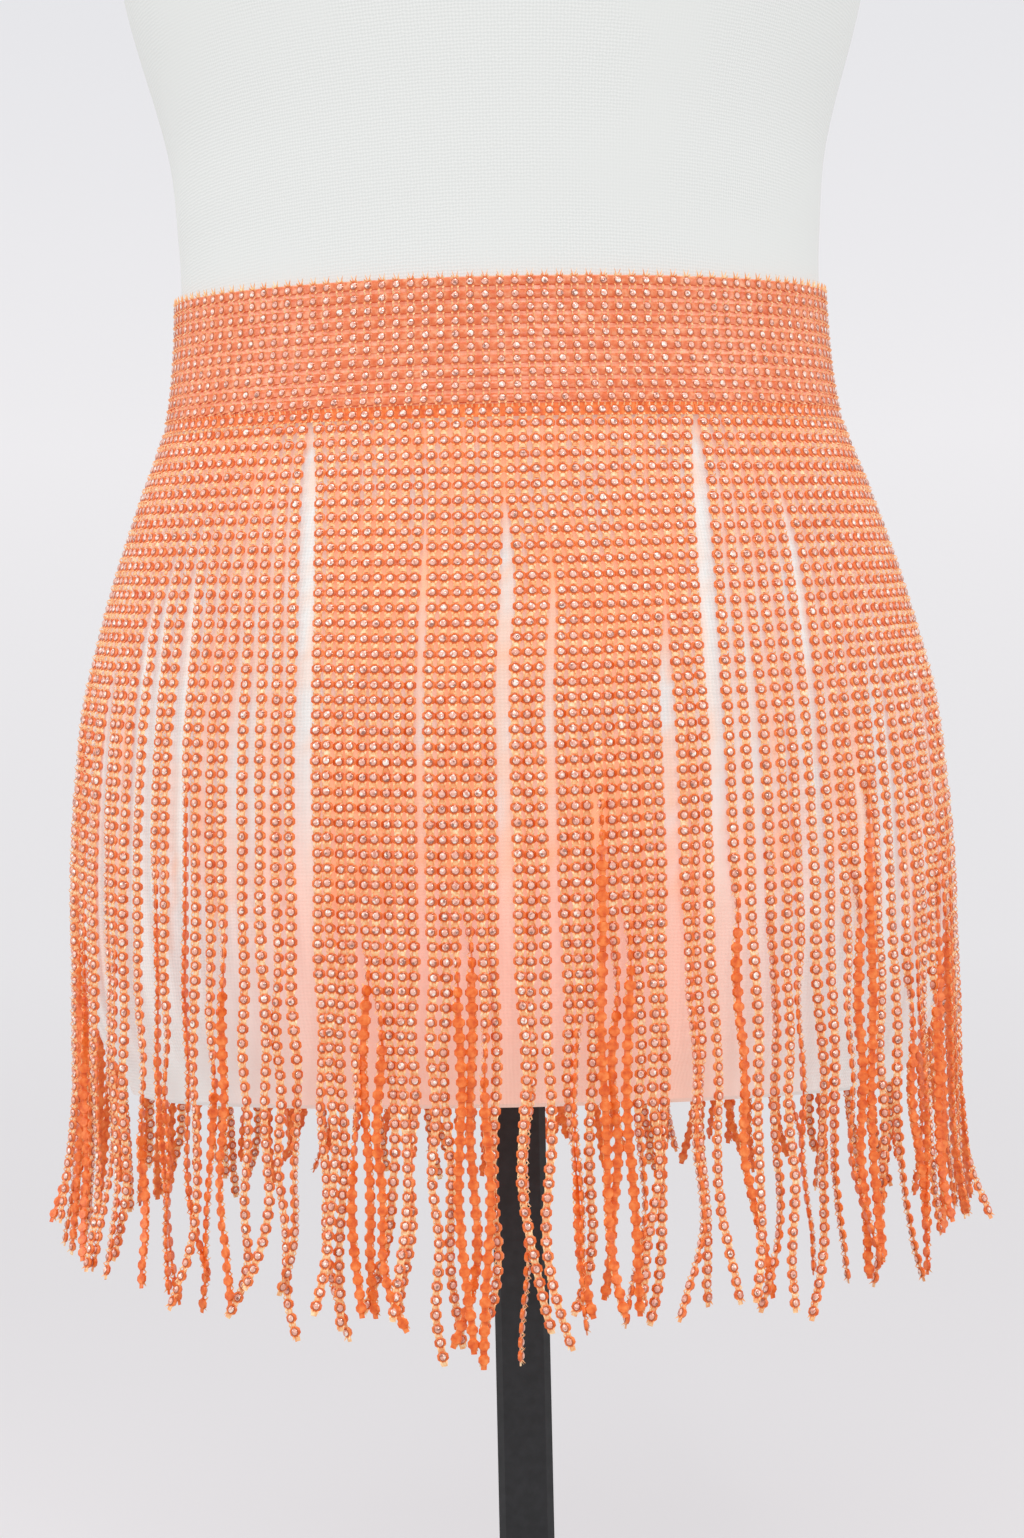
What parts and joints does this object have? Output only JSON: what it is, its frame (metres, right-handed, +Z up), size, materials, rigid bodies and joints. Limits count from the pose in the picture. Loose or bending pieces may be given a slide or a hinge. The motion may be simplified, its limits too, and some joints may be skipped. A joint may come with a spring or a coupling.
{
  "type": "rhinestone fringe belt on dress form",
  "caption": "Stretch rhinestone waistband with long cup-chain fringe, worn on a limbless dress form with a square pole and flat base",
  "frame": {"origin": "middle of the underside of the base plate, on the surface that the stand rests on", "axes": "+Z up along the pole; the front of the belt faces -Y; +X is the picture's right"},
  "size_m": [0.3633, 0.3, 1.118],
  "materials": {
    "rhinestone_mesh": "neon coral-orange resin mesh set with clear faceted stones",
    "fringe_chain": "neon coral-orange resin claw cups set with clear faceted stones",
    "form_jersey": "white stretch jersey cover, fine vertical rib",
    "stand_black": "satin black powder coat"
  },
  "bodies": {
    "root": {"waistband": "rhinestone_mesh", "fringe_front": "fringe_chain", "fringe_right_front": "fringe_chain", "fringe_right_back": "fringe_chain", "fringe_left_back": "fringe_chain", "fringe_left_front": "fringe_chain", "dress_form": "form_jersey", "pole": "stand_black", "base": "stand_black"}
  },
  "joints": []
}
